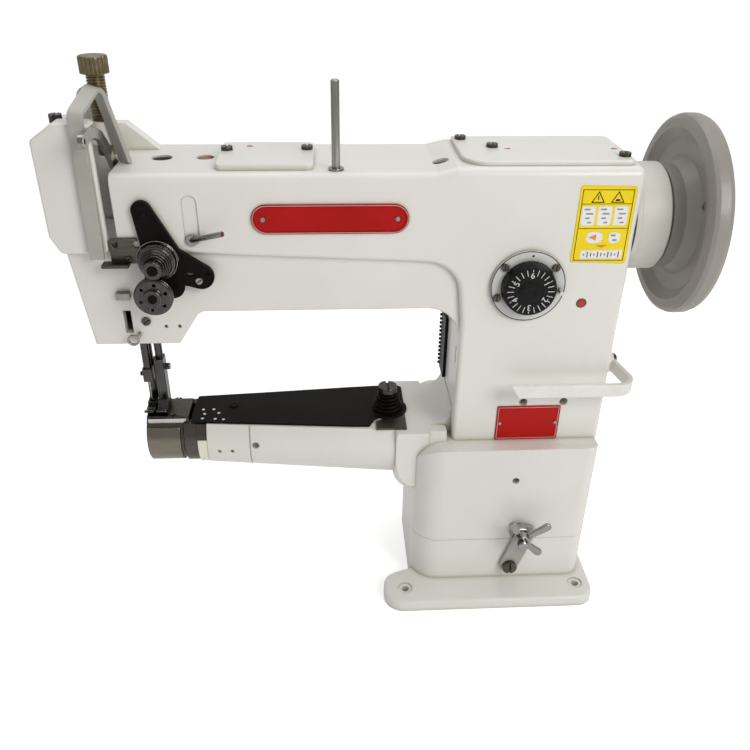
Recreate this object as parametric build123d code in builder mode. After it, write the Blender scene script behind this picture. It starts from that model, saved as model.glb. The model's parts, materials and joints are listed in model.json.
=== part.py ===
from build123d import *
import os
from math import cos, radians, sin

# Cylinder-arm sewing machine for leather, in millimetres.
# X runs along the arms towards the handwheel, Y away from the operator, Z up.
# The origin is on the underside of the base, midway between the front bolt holes in X
# and on the machine's own centre plane in Y.

# Pedestal and bed
BODY_LEFT, BODY_RIGHT = -72.0, 84.0
BODY_HALF_DEPTH = 58.0
BODY_WALL = 11.0
LEFT_CORNER_R, RIGHT_CORNER_R = 25.0, 12.0
BASE_HEIGHT = 56.0
SEAM_GAP = 0.2
BED_TOP = 153.5
FOOT_THICKNESS = 10.5
FOOT_LEFT, FOOT_RIGHT, FOOT_FRONT, FOOT_BACK = -97.0, 92.0, -87.0, 86.0
FRONT_BOLTS = [(-78.0, -69.0), (78.0, -69.0)]
BACK_BOLTS = [(-46.0, 70.0), (76.0, 70.0)]
BOLT_HOLE_R = 3.3

# Tilt hinge and front latch
HINGE_Y, HINGE_Z, HINGE_PIN_R, HINGE_LUG_R = 70.0, 56.0, 4.0, 9.0
LATCH_X, LATCH_Z = 16.8, 27.4
STUD_X, STUD_Z, STUD_R = 21.0, 70.0, 4.0

# Cylinder arm
ARM_Z = 143.0
DECK_Z = 162.0
ARM_END = -248.0
ARM_WALL = 6.0
NOSE_R, NOSE_LEFT = 25.0, -299.0
COVER_R, COVER_LEFT, COVER_RIGHT = 26.2, -298.0, -271.0
COVER_HINGE_Y, COVER_HINGE_Z, COVER_HINGE_R = 6.0, 116.7, 1.6
PLATE_TOP = 165.5

# Upper arm, column and head
COLUMN_LEFT, COLUMN_RIGHT, COLUMN_TOP = -40.5, 84.4, 384.0
FRONT_Y, BACK_Y = -42.0, 42.0
LOWER_FRONT_Y, LOWER_BACK_Y = -36.5, 38.0
ARM_TOP, ARM_BOTTOM = 380.5, 274.0
HEAD_RIGHT, SLOT_RIGHT, SLOT_LEFT = -240.0, -291.0, -297.8
HEAD_BOTTOM, HEAD_SHELF = 247.0, 324.0

# Shafts and bars
SHAFT_Z, SHAFT_R = 335.4, 8.0
LOWER_Y, LOWER_Z, LOWER_R = 9.3, 134.0, 4.5
HOOK_X, HOOK_Y = -283.0, -3.0
NEEDLE_X, NEEDLE_BAR_R = -295.5, 3.4
INNER_BAR_Y, INNER_BAR_R = 11.0, 3.0
OUTER_BAR_X, OUTER_BAR_Y, OUTER_BAR_R = -285.5, 4.0, 3.2
PULLEY_R, BELT_LEFT, BELT_RIGHT = 22.0, 1.0, 13.0
FIT = 0.05

# Controls
WHEEL_R, WHEEL_LEFT, WHEEL_RIGHT = 76.3, 124.3, 141.0
DIAL_X, DIAL_Z = 8.1, 295.6
LEVER_Y, LEVER_Z = -14.0, 212.0
TENSION_X, TENSION_Z = -264.0, 320.0
THREAD_WHEEL_X, THREAD_WHEEL_Z = -267.5, 297.0
PRESSURE_X, PRESSURE_Y = -300.0, 1.0
PLATE_STUD_X, PLATE_STUD_Y = -93.0, -4.0

TAKE_UP_Y, TAKE_UP_Z, TAKE_UP_PIN_R = 12.0, 364.0, 4.0
LEVER_SIDE, LEVER_THICKNESS = -296.6, 3.6
LIFTER_X, LIFTER_Z = -262.0, 292.0
OIL_HOLES = [(-262, 3, 7.5), (-230.6, 4, 6.5), (-59, -13, 6.0)]
LEFT_COVER_SCREWS = [(-215, 8), (-156, 10)]
RIGHT_COVER_SCREWS = [(-38.7, 29.3), (-18.3, 4.7), (73.8, -21.9)]
DIAL_SCREWS = [(DIAL_X + 24.7 * cos(radians(a)), DIAL_Z + 24.7 * sin(radians(a))) for a in (38, 140, 201)]
NAMEPLATE_RIVETS = [(-187.5, 348.8), (-91.5, 348.8)]
MODEL_PLATE_RIVETS = [(-1.5, 170.5), (45.5, 170.5)]
BAR_PLACES = [(NEEDLE_X, 0.0), (NEEDLE_X, INNER_BAR_Y), (OUTER_BAR_X, OUTER_BAR_Y)]
BAR_BUSH_R = dict(zip(BAR_PLACES, (NEEDLE_BAR_R + 1.8, INNER_BAR_R + 1.8, OUTER_BAR_R + 1.8)))

ALONG_X, ALONG_Z, OUTWARD = (1, 0, 0), (0, 0, 1), (0, -1, 0)
PIN_DIRECTION = (0.79, -0.52, 0.33)


def turn(origin, along, outline, mode=Mode.ADD):
    """A solid of revolution: outline points are (distance along the axis, radius)."""
    side = Vector(0, 1, 0) if along == ALONG_Z else Vector(0, 0, 1)
    plane = Plane(origin=origin, x_dir=along, z_dir=Vector(*along).cross(side))
    with BuildSketch(plane, mode=Mode.PRIVATE) as profile:
        with BuildLine():
            Polyline(*outline, close=True)
        make_face()
    revolve(profile.sketch, axis=Axis(origin, along), mode=mode)


def rod(origin, along, radius, start, end, mode=Mode.ADD):
    turn(origin, along, [(start, 0), (end, 0), (end, radius), (start, radius)], mode)


def tube(origin, along, inner, outer, start, end, mode=Mode.ADD):
    turn(origin, along, [(start, inner), (end, inner), (end, outer), (start, outer)], mode)


def block(low, high, mode=Mode.ADD):
    """A box between two opposite corners."""
    size = [b - a for a, b in zip(low, high)]
    middle = tuple((a + b) / 2 for a, b in zip(low, high))
    with Locations(middle):
        Box(*size, mode=mode)


def hull(plane, circles, amount, mode=Mode.ADD):
    """A plate whose outline wraps a few circles given as (x, y, radius)."""
    with BuildSketch(plane, mode=Mode.PRIVATE) as outline:
        for x, y, radius in circles:
            with Locations((x, y)):
                Circle(radius)
        make_hull()
    extrude(outline.sketch, amount=amount, mode=mode)


def plate(plane, points, amount, corner=0.0, mode=Mode.ADD):
    """A flat plate with a straight-sided outline and equally rounded corners."""
    with BuildSketch(plane, mode=Mode.PRIVATE) as outline:
        with BuildLine():
            Polyline(*points, close=True)
        make_face()
        if corner:
            fillet(outline.vertices(), corner)
    extrude(outline.sketch, amount=amount, mode=mode)


def front(y):
    """The plane facing the operator at depth y: local X is X, local Y is Z."""
    return Plane(origin=(0, y, 0), x_dir=(1, 0, 0), z_dir=(0, -1, 0))


def side(x):
    """The plane facing +X at distance x: local X is Y, local Y is Z."""
    return Plane(origin=(x, 0, 0), x_dir=(0, 1, 0), z_dir=(1, 0, 0))


def slotted_screw(origin, along, shank_r, shank_length, head_r, head_height):
    """A cheese-head screw whose head stands on the origin."""
    rod(origin, along, shank_r, -shank_length, 0)
    rod(origin, along, head_r, 0, head_height)
    depth = 0.4 * head_height
    top = Vector(*origin) + Vector(*along) * head_height
    thickness = 0.28 * head_r
    spans = [2 * depth if abs(a) > 0.5 else 3 * head_r for a in along]
    narrow = 0 if abs(along[0]) < 0.5 else 1
    spans[narrow] = thickness
    with Locations(top):
        Box(*spans, mode=Mode.SUBTRACT)


def body_outline(height, inset=0.0):
    """Plan outline shared by the pedestal and the bed."""
    with BuildSketch(Plane.XY.offset(height), mode=Mode.PRIVATE) as outline:
        with Locations(((BODY_LEFT + BODY_RIGHT) / 2, 0)):
            Rectangle(BODY_RIGHT - BODY_LEFT - 2 * inset, 2 * (BODY_HALF_DEPTH - inset))
        fillet(outline.vertices().group_by(Axis.X)[0], LEFT_CORNER_R - inset)
        fillet(outline.vertices().group_by(Axis.X)[-1], RIGHT_CORNER_R - inset)
    return outline.sketch


def keep(builder, name):
    builder.part.label = name
    export_step(builder.part, f"parts/{name}.step")


os.makedirs("parts", exist_ok=True)

# ---------------------------------------------------------------- pedestal

with BuildPart() as pedestal_base:
    with BuildSketch() as foot:
        with BuildLine():
            Polyline((-64, FOOT_BACK), (FOOT_RIGHT, FOOT_BACK), (FOOT_RIGHT, FOOT_FRONT),
                     (FOOT_LEFT, FOOT_FRONT), (FOOT_LEFT, -52), (-62, -40), close=True)
        make_face()
        fillet(foot.vertices().group_by(Axis.X)[-1], 15)
        fillet(foot.vertices().group_by(Axis.X)[0], 17)
        fillet(foot.vertices().group_by(Axis.Y)[-1].sort_by(Axis.X)[0], 15)
    extrude(amount=FOOT_THICKNESS)
    fillet(pedestal_base.edges().group_by(Axis.Z)[-1], 2.5)
    extrude(body_outline(0), amount=BASE_HEIGHT)
    fillet(pedestal_base.edges().group_by(Axis.Z)[-1], 0.8)
    extrude(body_outline(BODY_WALL, BODY_WALL), amount=BASE_HEIGHT, mode=Mode.SUBTRACT)
    with Locations(*[(x, y, FOOT_THICKNESS) for x, y in FRONT_BOLTS + BACK_BOLTS]):
        CounterBoreHole(BOLT_HOLE_R, 6.5, 1.2)
    for left in (-37.0, 47.0):
        hull(side(left), [(HINGE_Y, HINGE_Z, HINGE_LUG_R), (55, 42, 2), (55, 24, 2)], 14)
    rod((0, HINGE_Y, HINGE_Z), ALONG_X, HINGE_PIN_R + FIT, -50, 80, Mode.SUBTRACT)
    rod((LATCH_X, -BODY_HALF_DEPTH, LATCH_Z), OUTWARD, 4, -BODY_WALL - 1, 1, Mode.SUBTRACT)

with BuildPart() as tilt_hinge_pin:
    rod((0, HINGE_Y, HINGE_Z), ALONG_X, HINGE_PIN_R, -37.2, 63)
    rod((0, HINGE_Y, HINGE_Z), ALONG_X, 6.5, -41, -37.2)
    chamfer(tilt_hinge_pin.edges().group_by(Axis.X)[-1], 0.6)

with BuildPart() as latch_pivot_screw:
    slotted_screw((LATCH_X, -62.3, LATCH_Z), OUTWARD, 4, 14, 6.3, 4.2)
    fillet(latch_pivot_screw.edges().filter_by(GeomType.CIRCLE).group_by(Axis.Y)[0], 0.5)

with BuildPart() as latch_strap:
    hull(front(-58.6), [(LATCH_X, LATCH_Z, 8.4), (28.5, 64, 8.4)], 3.4)
    fillet(latch_strap.edges().group_by(Axis.Y)[0], 0.6)
    rod((STUD_X, 0, STUD_Z), OUTWARD, STUD_R + 0.8, 50, 70, Mode.SUBTRACT)
    block((STUD_X - 12, -70, STUD_Z), (STUD_X + STUD_R + 0.8, -50, STUD_Z + 20), Mode.SUBTRACT)
    rod((LATCH_X, 0, LATCH_Z), OUTWARD, 4 + FIT, 50, 70, Mode.SUBTRACT)

with BuildPart() as clamp_stud:
    rod((STUD_X, 0, STUD_Z), OUTWARD, STUD_R, 50, 84)
    chamfer(clamp_stud.edges().group_by(Axis.Y)[0], 0.8)
    with BuildSketch(front(-63.6)):
        with Locations((STUD_X, STUD_Z)):
            RegularPolygon(9.2, 6)
    extrude(amount=7.5)
    chamfer(clamp_stud.edges().filter_by(lambda e: abs(e.center().Y + 71.1) < 0.01), 0.8)

with BuildPart() as wing_nut:
    tube((STUD_X, 0, STUD_Z), OUTWARD, STUD_R + FIT, 7, 72.2, 80)
    for angle, reach in ((34, 25), (-42, 21), (118, 19)):
        tip = (STUD_X + reach * cos(radians(angle)), STUD_Z + reach * sin(radians(angle)))
        root = (STUD_X + 8.5 * cos(radians(angle)), STUD_Z + 8.5 * sin(radians(angle)))
        hull(front(-74), [(*root, 2.6), (*tip, 3.6)], 3.2)
    fillet(wing_nut.edges().filter_by(Axis.Y, reverse=True).filter_by(GeomType.LINE), 0.9)
    rod((STUD_X, 0, STUD_Z), OUTWARD, STUD_R + FIT, 60, 90, Mode.SUBTRACT)

# ---------------------------------------------------------------- bed with the cylinder arm

with BuildPart() as bed_casting:
    bed_bottom = BASE_HEIGHT + SEAM_GAP
    extrude(body_outline(bed_bottom), amount=BED_TOP - bed_bottom)
    with BuildSketch(front(BODY_HALF_DEPTH + 1), mode=Mode.PRIVATE) as shoulder:
        with BuildLine():
            Polyline((BODY_LEFT, bed_bottom), (BODY_RIGHT, bed_bottom), (BODY_RIGHT, BED_TOP),
                     (BODY_LEFT, BED_TOP), close=True)
        make_face()
        fillet(shoulder.vertices().sort_by_distance((BODY_LEFT, BED_TOP, 0))[0], 26)
        fillet(shoulder.vertices().sort_by_distance((BODY_RIGHT, BED_TOP, 0))[0], 4)
    extrude(shoulder.sketch, amount=2 * BODY_HALF_DEPTH + 2, mode=Mode.INTERSECT)
    # The arm widens towards the bed and its underside sweeps down into the bed's left wall.
    turn((0, 0, ARM_Z), ALONG_X, [(ARM_END, 0), (-45, 0), (-45, 44.4), (ARM_END, 29.1)])
    with BuildPart(mode=Mode.PRIVATE) as flare:
        with BuildSketch(front(0)):
            with BuildLine():
                Polyline((-60, ARM_Z + 56.5), (-60, ARM_Z), (-88, ARM_Z), (-88, ARM_Z + 40.5))
                RadiusArc((-88, ARM_Z + 40.5), (BODY_LEFT, ARM_Z + 56.5), 16)
                Line((BODY_LEFT, ARM_Z + 56.5), (-60, ARM_Z + 56.5))
            make_face()
        revolve(axis=Axis((0, 0, ARM_Z), ALONG_X))
        block((-90, -43, 60), (-58, 43, DECK_Z), Mode.INTERSECT)
    add(flare.part)
    block((-310, -60, DECK_Z), (-30, 60, DECK_Z + 40), Mode.SUBTRACT)
    # Root fillet between the deck and the column.
    with BuildSketch(front(34)):
        with BuildLine():
            Line((-60, DECK_Z - 10), (-60, DECK_Z))
            RadiusArc((-60, DECK_Z), (COLUMN_LEFT, DECK_Z + 19.5), -19.5)
            Polyline((COLUMN_LEFT, DECK_Z + 19.5), (COLUMN_LEFT, DECK_Z - 10), (-60, DECK_Z - 10))
        make_face()
    extrude(amount=64)
    # Hollow: the bed's box, the arm's bore and the belt's window to the column.
    extrude(body_outline(bed_bottom - 1, BODY_WALL), amount=146 - bed_bottom, mode=Mode.SUBTRACT)
    with BuildPart(mode=Mode.PRIVATE) as bore:
        turn((0, 0, ARM_Z), ALONG_X, [(ARM_END + 10, 0), (-58, 0), (-58, 37.5), (ARM_END + 10, 23.5)])
        block((ARM_END, -60, DECK_Z - 5), (-30, 60, DECK_Z + 40), Mode.SUBTRACT)
    add(bore.part, mode=Mode.SUBTRACT)
    block((-10, -24, 140), (30, 36, 160), Mode.SUBTRACT)
    block((22, -52, 110), (30, 52, 148))
    rod((0, LOWER_Y, LOWER_Z), ALONG_X, 8, -260, 40, Mode.SUBTRACT)
    # Sleeve line, panel holes and the tapped holes on the operator's side.
    tube((0, 0, ARM_Z), ALONG_X, 31.2, 45, -212, -211, Mode.SUBTRACT)
    for x, z, radius in ((-238, 138.5, 1.5), (-227, 139, 1.5), (-206.7, 145.5, 3.0)):
        rod((x, 0, z), OUTWARD, radius, 27.5, 60, Mode.SUBTRACT)
    rod((14.4, -BODY_HALF_DEPTH, 121), OUTWARD, 3, -BODY_WALL, 1, Mode.SUBTRACT)
    for left in (-22.6, 34.0):
        hull(side(left), [(HINGE_Y, HINGE_Z, HINGE_LUG_R), (55, 88, 2), (55, 70, 2)], 12.6)
    rod((0, HINGE_Y, HINGE_Z), ALONG_X, HINGE_PIN_R + FIT, -50, 80, Mode.SUBTRACT)

# ---------------------------------------------------------------- nose of the arm

with BuildPart() as nose_shell:
    turn((0, 0, ARM_Z), ALONG_X, [(NOSE_LEFT, 0), (NOSE_LEFT + 2.5, 0), (NOSE_LEFT + 2.5, 22),
                                  (ARM_END, 22), (ARM_END, 28), (-256.2, 28), (-256.2, 27),
                                  (-267, 27), (-268.2, NOSE_R), (NOSE_LEFT, NOSE_R)])
    block((-310, -60, 161.2), (-240, 60, 200), Mode.SUBTRACT)
    # The hook's service opening, closed by the hinged cover.
    with BuildPart(mode=Mode.PRIVATE) as opening:
        with BuildSketch(side(NOSE_LEFT + 2.5)):
            with BuildLine():
                Polyline((0, ARM_Z), (-45, ARM_Z + 33), (-45, 90), (6, 90), close=True)
            make_face()
        extrude(amount=COVER_RIGHT - NOSE_LEFT - 2.8)
    add(opening.part, mode=Mode.SUBTRACT)
    block((-256.2, -60, 100), (-240, 60, 149), Mode.SUBTRACT)
    block((-287, -7, 121), (-279, 17, 125.5))
    rod((HOOK_X, HOOK_Y, 0), ALONG_Z, 3 + FIT, 115, 130, Mode.SUBTRACT)
    block((-296.4, -13.2, 150), (-269, 13.2, 170), Mode.SUBTRACT)
    # Ears of the service cover's hinge.
    for left in (COVER_LEFT, COVER_RIGHT - 1.6):
        rod((0, COVER_HINGE_Y, COVER_HINGE_Z), ALONG_X, COVER_HINGE_R, left, left + 1.6)
        block((left, 4.6, COVER_HINGE_Z), (left + 1.6, 7.4, 119.5))

with BuildPart() as cream_ring:
    tube((0, 0, ARM_Z), ALONG_X, 23, 28.6, -256, ARM_END - 0.1)
    block((-260, -60, 148.8), (-240, 60, 200), Mode.SUBTRACT)

with BuildPart() as hook_cover:
    tube((0, 0, ARM_Z), ALONG_X, NOSE_R + 0.2, COVER_R, COVER_LEFT, COVER_RIGHT)
    with BuildPart(mode=Mode.PRIVATE) as wedge:
        with BuildSketch(side(COVER_LEFT - 1)):
            with BuildLine():
                Polyline((0, ARM_Z), (-46, ARM_Z + 33.4), (-46, 100), (5.2, 100), close=True)
            make_face()
        extrude(amount=30)
    add(wedge.part, mode=Mode.INTERSECT)
    for left in (COVER_LEFT - 1, COVER_RIGHT - 1.9):
        block((left, 2.5, 110), (left + 2.9, 8, 122), Mode.SUBTRACT)
    rod((0, COVER_HINGE_Y, COVER_HINGE_Z), ALONG_X, COVER_HINGE_R, COVER_LEFT + 1.9, COVER_RIGHT - 1.9)

with BuildPart() as needle_plate:
    plate(side(NOSE_LEFT), [(-17.5, 161.3), (17.5, 161.3), (14.1, PLATE_TOP), (-14.1, PLATE_TOP)], 35)
    block((-292.2, -13, 150), (-287.8, 13, 170), Mode.SUBTRACT)
    rod((NEEDLE_X, 0, 0), ALONG_Z, 1.7, 150, 170, Mode.SUBTRACT)
    for y in (-14.2, 14.2):
        rod((-277, y, 0), ALONG_Z, 3.4, 150, 170, Mode.SUBTRACT)

with BuildPart() as plate_screws:
    for y in (-14.2, 14.2):
        slotted_screw((-277, y, 161.4), ALONG_Z, 1.5, 3, 3.3, 3.4)

with BuildPart() as feed_dog:
    block((-291.6, -9, 158.2), (-288.4, 9, 165.6))
    for i in range(9):
        with BuildSketch(side(-291.6), mode=Mode.PRIVATE) as tooth:
            with BuildLine():
                y = -9 + 2 * i
                Polyline((y, 165.6), (y + 2, 165.6), (y + 1.8, 166.3), close=True)
            make_face()
        extrude(tooth.sketch, amount=3.2)

with BuildPart() as hook:
    tube((HOOK_X, HOOK_Y, 0), ALONG_Z, 10, 11.3, 144, 156)
    rod((HOOK_X, HOOK_Y, 0), ALONG_Z, 11.3, 144, 145.8)
    rod((HOOK_X, HOOK_Y, 0), ALONG_Z, 3, 121.5, 144)
    rod((HOOK_X, HOOK_Y, 0), ALONG_Z, 4, 129.5, 138.5)
    block((HOOK_X - 15, HOOK_Y - 15, 151), (HOOK_X + 2, HOOK_Y - 6, 160), Mode.SUBTRACT)

with BuildPart() as bobbin_case:
    tube((HOOK_X, HOOK_Y, 0), ALONG_Z, 8.6, 9.6, 146.3, 157.4)
    rod((HOOK_X, HOOK_Y, 0), ALONG_Z, 9.6, 146.3, 147.4)
    rod((HOOK_X, HOOK_Y, 0), ALONG_Z, 2, 147.4, 156.5)
    block((HOOK_X + 9, HOOK_Y - 2, 156.3), (-266, HOOK_Y + 2, 157.4))

with BuildPart() as bobbin:
    turn((HOOK_X, HOOK_Y, 147.7), ALONG_Z, [(0, 2 + FIT), (9, 2 + FIT), (9, 8.2), (8.2, 8.2),
                                            (8.2, 3.4), (0.8, 3.4), (0.8, 8.2), (0, 8.2)])

# ---------------------------------------------------------------- swinging plate on the arm

with BuildPart() as arm_top_plate:
    with BuildSketch(Plane.XY.offset(DECK_Z + 0.15)):
        with BuildLine():
            Polyline((-266, -20), (-200, -25), (-125, -31.3), (-110, -31.8), (-105, -22), (-93, -14),
                     (-78, -10), (-78, 30), (-83, 34), (-90, 33.6), (-125, 31.3), (-200, 25),
                     (-266, 20), close=True)
        make_face()
        with Locations((PLATE_STUD_X, PLATE_STUD_Y)):
            Circle(17)
            Circle(168.5, mode=Mode.INTERSECT)
    extrude(amount=1.6)
    rod((PLATE_STUD_X, PLATE_STUD_Y, 0), ALONG_Z, 5 + FIT, 150, 170, Mode.SUBTRACT)
    for x, y in ((-253, -2), (-251, -9), (-252, -16), (-244, -2), (-239, -8), (-241, -17), (-234, -18)):
        rod((x, y, 0), ALONG_Z, 1.1, 150, 170, Mode.SUBTRACT)
    fillet(arm_top_plate.edges().group_by(Axis.Z)[-1].filter_by(GeomType.LINE), 0.4)

with BuildPart() as pivot_block:
    plate(Plane.XY.offset(DECK_Z), [(-104.4, -25), (-78.5, -14), (-78.5, -37), (-104.4, -37)], 1.4)
    rod((PLATE_STUD_X, PLATE_STUD_Y, 0), ALONG_Z, 18, 150, 170, Mode.SUBTRACT)
    block((-112, -32.5, 150), (-104.2, -20, 170), Mode.SUBTRACT)

with BuildPart() as plate_stud:
    rod((PLATE_STUD_X, PLATE_STUD_Y, 0), ALONG_Z, 5, DECK_Z - 4, 181)
    slotted_screw((PLATE_STUD_X, PLATE_STUD_Y, 181), ALONG_Z, 4, 1, 8, 5)

with BuildPart() as plate_spring:
    turn((PLATE_STUD_X, PLATE_STUD_Y, 164), ALONG_Z, [(0, 12.4), (0, 14), (16.8, 7.8), (16.8, 6.2)])

# ---------------------------------------------------------------- upper arm, column and head

SHELF = [(SLOT_RIGHT, 325.5), (-199, 320.5), (-74, 314.5)]
TOP_LINE = [(COLUMN_RIGHT, COLUMN_TOP), (-50, COLUMN_TOP), (-64, ARM_TOP), (SLOT_RIGHT, ARM_TOP)]

with BuildPart() as arm_casting:
    # Lower layer: the full side view, set back from the front.
    with BuildSketch(front(LOWER_BACK_Y), mode=Mode.PRIVATE) as side_view:
        with BuildLine():
            Polyline((COLUMN_LEFT, BED_TOP), (COLUMN_RIGHT, BED_TOP), *TOP_LINE,
                     (SLOT_RIGHT, HEAD_SHELF), (-331, HEAD_SHELF), (-322, HEAD_BOTTOM),
                     (-258, HEAD_BOTTOM), (HEAD_RIGHT, ARM_BOTTOM), (COLUMN_LEFT, ARM_BOTTOM),
                     close=True)
        make_face()
        fillet(side_view.vertices().sort_by_distance((COLUMN_LEFT, ARM_BOTTOM, 0))[0], 26)
        fillet(side_view.vertices().sort_by_distance((HEAD_RIGHT, ARM_BOTTOM, 0))[0], 9)
    extrude(side_view.sketch, amount=LOWER_BACK_Y - LOWER_FRONT_Y)
    # Upper layer: the deeper band that carries the shelf line round into the column.
    with BuildSketch(front(BACK_Y), mode=Mode.PRIVATE) as band:
        with BuildLine():
            Polyline((COLUMN_LEFT, BED_TOP), (COLUMN_RIGHT, BED_TOP), *TOP_LINE, *SHELF,
                     (COLUMN_LEFT - 5, 312), (COLUMN_LEFT, 265), close=True)
        make_face()
        fillet(band.vertices().sort_by_distance((COLUMN_LEFT - 5, 312, 0))[0], 26)
    extrude(band.sketch, amount=BACK_Y - FRONT_Y)
    # Rear web and the boss that carries the pressure screw.
    plate(front(38), [(-330, 327.6), (-297.5, 327.6), (-297.5, HEAD_SHELF), (SLOT_RIGHT, HEAD_SHELF),
                      (-255, ARM_TOP), (-268, ARM_TOP), (-291, 400), (-330, 400)], 12)
    block((-309, -7, 392), (-299.0, 38, 400))
    rod((PRESSURE_X, PRESSURE_Y, 0), ALONG_Z, 9, 392, 408)

    # Rounded outer edges: top of the arm, shelf, column corners and underside.
    def outer_edges(test):
        return arm_casting.edges().filter_by(lambda edge: test(edge.center()))
    front_top = outer_edges(lambda c: abs(c.Y - FRONT_Y) < 0.1 and c.Z > ARM_TOP - 0.2)
    fillet(front_top, 7)
    column_front = outer_edges(lambda c: abs(c.Y - FRONT_Y) < 0.1 and c.X > COLUMN_RIGHT - 0.1)
    fillet(column_front, 4)
    shelf_line = outer_edges(lambda c: abs(c.Y - FRONT_Y) < 0.1 and c.X < COLUMN_LEFT + 0.1 and c.Z < 326)
    fillet(shelf_line, 4)
    head_corner = outer_edges(lambda c: abs(c.Y - LOWER_FRONT_Y) < 0.1 and c.X < -250 and c.Z < 320)
    fillet(head_corner, 2)
    # Hollow column, arm and head, with a rib that carries the main shaft's left bush.
    block((COLUMN_LEFT + 7, -33, 150), (COLUMN_RIGHT - 9, 33, 377), Mode.SUBTRACT)
    block((-248, -29, 281), (COLUMN_LEFT + 8, 31, 374), Mode.SUBTRACT)
    block((-248, -35, 332), (COLUMN_LEFT + 8, 35, 372), Mode.SUBTRACT)
    block((-263, -29, 281), (-247, 31, 312), Mode.SUBTRACT)
    block((-315, -29, 254), (-262, 31, HEAD_SHELF + 1), Mode.SUBTRACT)
    block((-292, -24, HEAD_SHELF), (-262, 26, 374), Mode.SUBTRACT)
    block((-312, -30, 316), (-274, 32, HEAD_SHELF - 1))
    for x, y in BAR_PLACES:
        rod((x, y, 0), ALONG_Z, BAR_BUSH_R[(x, y)], 240, 330, Mode.SUBTRACT)
    rod((0, 0, SHAFT_Z), ALONG_X, 13, -270, -240, Mode.SUBTRACT)
    rod((0, 0, SHAFT_Z), ALONG_X, 13.5, 70, 90, Mode.SUBTRACT)
    rod((PRESSURE_X, PRESSURE_Y, 0), ALONG_Z, 6.4 + FIT, 390, 410, Mode.SUBTRACT)
    # Openings and tapped holes: covers, oil holes, front plug, lever slots and the side slot.
    block((-30, -24, 370), (66, 28, 390), Mode.SUBTRACT)
    block((-205, -18, 370), (-166, 18, 390), Mode.SUBTRACT)
    for x, y, radius in OIL_HOLES:
        rod((x, y, 0), ALONG_Z, radius, 370, 390, Mode.SUBTRACT)
    rod((51.9, 0, 280), OUTWARD, 4, 30, 50, Mode.SUBTRACT)
    for x in (16.7, 50.3):
        rod((x, 0, 190.3), OUTWARD, 3.4, 30, 50, Mode.SUBTRACT)
    for x in (-266.6, -256.4):
        rod((x, 0, 262.3), OUTWARD, 1.3, 30, 50, Mode.SUBTRACT)
    rod((-281.1, 0, 267), OUTWARD, 3.2, 33, 50, Mode.SUBTRACT)
    block((-297.4, -50, 257), (-291.6, -26, 276), Mode.SUBTRACT)
    block((-50, -31, 222), (-30, -28, 238), Mode.SUBTRACT)
    rod((DIAL_X, 0, DIAL_Z), OUTWARD, 6 + FIT, 30, 50, Mode.SUBTRACT)
    rod((0, LEVER_Y, LEVER_Z), ALONG_X, 5, 70, 90, Mode.SUBTRACT)
    rod((LIFTER_X, 0, LIFTER_Z), OUTWARD, 5, -50, -28, Mode.SUBTRACT)
    rod((0, TAKE_UP_Y, TAKE_UP_Z), ALONG_X, TAKE_UP_PIN_R, -262, -250, Mode.SUBTRACT)
    # Shallow flute pressed into the front beside the tension bracket.
    flute = [(-243.5, 330), (-233, 330), (-233, 366), (-243.5, 366)]
    plate(front(FRONT_Y + 0.9), flute, 5, 5.2, Mode.SUBTRACT)

with BuildPart() as face_cover:
    cover_face = [(-338, 404), (-322, 415), (SLOT_LEFT, 415), (SLOT_LEFT, HEAD_SHELF + 0.3),
                  (-331.5, HEAD_SHELF + 0.3), (-338, 337)]
    inner_face = [(-335, 402.5), (-321, 412), (-290, 412), (-290, 327.3), (-330.5, 327.3), (-335, 337)]
    plate(front(-28), cover_face, 16, 4)
    fillet(face_cover.edges().group_by(Axis.Y)[0], 2)
    plate(front(38), [(-338, 404), (SLOT_LEFT, 404), *cover_face[3:]], 66.5)
    plate(front(39), inner_face, 78.5, 0, Mode.SUBTRACT)
    block((-320, -28.1, 390), (-290, 28.5, 420), Mode.SUBTRACT)
    block((-301.5, -6, 322), (-290, 16.5, 329), Mode.SUBTRACT)

with BuildPart() as spring_bracket:
    block((-320, 14, 400), (-304, 28, 404.2))
    block((-320, 16, 404), (-304, 20, 420))
    rod((-312, 0, 420), OUTWARD, 8, -20, -16)
    rod((-312, 0, 419), OUTWARD, 4, -30, 0, Mode.SUBTRACT)

with BuildPart() as top_cover_left:
    plate(Plane.XY.offset(ARM_TOP), [(-220, -31.5), (-151, -31.5), (-151, 31.5), (-220, 31.5)], 4.5, 5)
    fillet(top_cover_left.edges().group_by(Axis.Z)[-1], 1.2)
    for x, y in LEFT_COVER_SCREWS:
        rod((x, y, 0), ALONG_Z, 2, 370, 390, Mode.SUBTRACT)

with BuildPart() as top_cover_right:
    with BuildSketch(Plane.XY.offset(COLUMN_TOP)) as lid:
        with BuildLine():
            Polyline((-44.5, -35), (79, -35), (79, 39), (-44.5, 39), close=True)
        make_face()
        fillet(lid.vertices().sort_by_distance((-44.5, -35, 0))[0], 18)
        fillet(lid.vertices().group_by(Axis.X)[-1], 6)
    extrude(amount=3.5)
    fillet(top_cover_right.edges().group_by(Axis.Z)[-1], 1.2)
    for x, y in RIGHT_COVER_SCREWS:
        rod((x, y, 0), ALONG_Z, 2, 370, 390, Mode.SUBTRACT)

with BuildPart() as cover_screws:
    for x, y in LEFT_COVER_SCREWS:
        slotted_screw((x, y, ARM_TOP + 4.5), ALONG_Z, 2, 5, 4.3, 2.6)
    for x, y in RIGHT_COVER_SCREWS:
        slotted_screw((x, y, COLUMN_TOP + 3.5), ALONG_Z, 2, 5, 4.3, 2.6)
    for x, z in DIAL_SCREWS:
        slotted_screw((x, FRONT_Y - 3, z), OUTWARD, 1.6, 4, 2.9, 1.6)
    slotted_screw((-325.3, -20, 404), ALONG_Z, 2, 3, 4.4, 12.5)

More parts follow.
